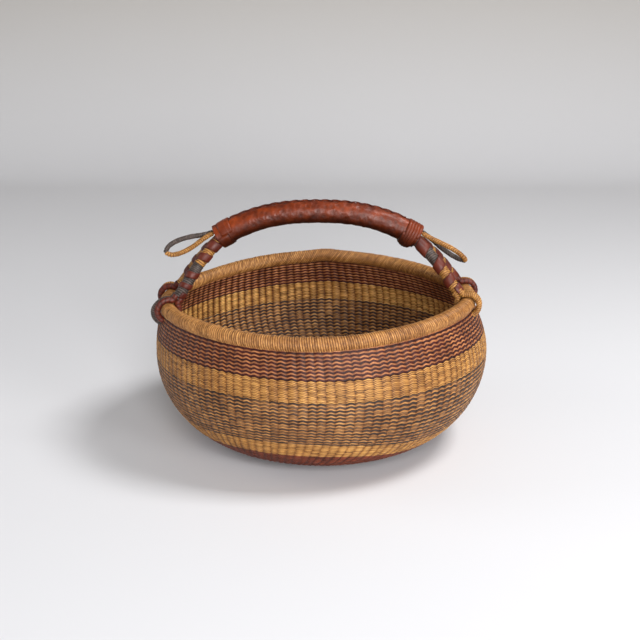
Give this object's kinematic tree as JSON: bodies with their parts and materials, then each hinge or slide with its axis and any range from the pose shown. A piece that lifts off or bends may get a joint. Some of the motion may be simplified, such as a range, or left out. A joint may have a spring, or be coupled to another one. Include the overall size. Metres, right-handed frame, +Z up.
{
  "type": "bolga basket",
  "caption": "Round-bellied woven straw basket with striped bands, a wrapped rim and a fixed arch handle with a leather grip and finger loops.",
  "frame": {"origin": "centre of the flat base, on the surface the basket stands on", "axes": "+Z up, +X along the handle's arch to the right, -Y towards the front of the picture"},
  "size_m": [0.4134, 0.41, 0.3046],
  "materials": {
    "red_straw": "matte dyed elephant-grass straw, twined",
    "natural_straw": "undyed golden elephant-grass straw, twined",
    "dark_striped_straw": "rows of indigo-grey and undyed straw, twined",
    "red_striped_straw": "rows of dark red and undyed straw, twined",
    "rim_straw": "undyed straw wound over the rim roll",
    "cane": "bundled grass stems, matte",
    "grip_leather": "glossy hand-worked orange-brown goat leather",
    "dark_leather": "dark red-brown leather strip, worn gloss",
    "whipping_straw": "dark and golden straw whipping",
    "strand_straw": "straw and leather wound strands",
    "loop_straw": "half dark, half undyed straw whipping"
  },
  "bodies": {
    "basket": {"base_disc": "red_straw", "red_base_band": "red_straw", "lower_natural_band": "natural_straw", "dark_striped_band": "dark_striped_straw", "upper_natural_band": "natural_straw", "red_striped_band": "red_striped_straw", "rim_core": "cane", "rim_wrap": "rim_straw", "front_handle_rod": "cane", "back_handle_rod": "cane", "grip_packing": "cane", "leather_grip": "grip_leather", "grip_seam_lace": "dark_leather", "left_grip_collar": "grip_leather", "right_grip_collar": "grip_leather", "left_front_leg_whipping": "whipping_straw", "left_front_leg_strip": "dark_leather", "left_back_leg_whipping": "whipping_straw", "left_back_leg_strip": "dark_leather", "right_front_leg_whipping": "whipping_straw", "right_front_leg_strip": "dark_leather", "right_back_leg_whipping": "whipping_straw", "right_back_leg_strip": "dark_leather", "left_front_rim_strand_near": "strand_straw", "left_front_rim_strand_far": "strand_straw", "left_back_rim_strand_near": "strand_straw", "left_back_rim_strand_far": "strand_straw", "right_front_rim_strand_near": "strand_straw", "right_front_rim_strand_far": "strand_straw", "right_back_rim_strand_near": "strand_straw", "right_back_rim_strand_far": "strand_straw"},
    "left_loop": {"left_finger_loop": "loop_straw"},
    "right_loop": {"right_finger_loop": "loop_straw"}
  },
  "joints": [
    {"name": "left_loop_swing", "type": "hinge", "parent": "basket", "child": "left_loop", "pos_m": [-0.12896, -0.015, 0.26356], "axis": [0, 1, 0], "range_deg": [-15, 25]},
    {"name": "right_loop_swing", "type": "hinge", "parent": "basket", "child": "right_loop", "pos_m": [0.11996, -0.015, 0.26356], "axis": [0, -1, 0], "range_deg": [-10, 35]}
  ]
}
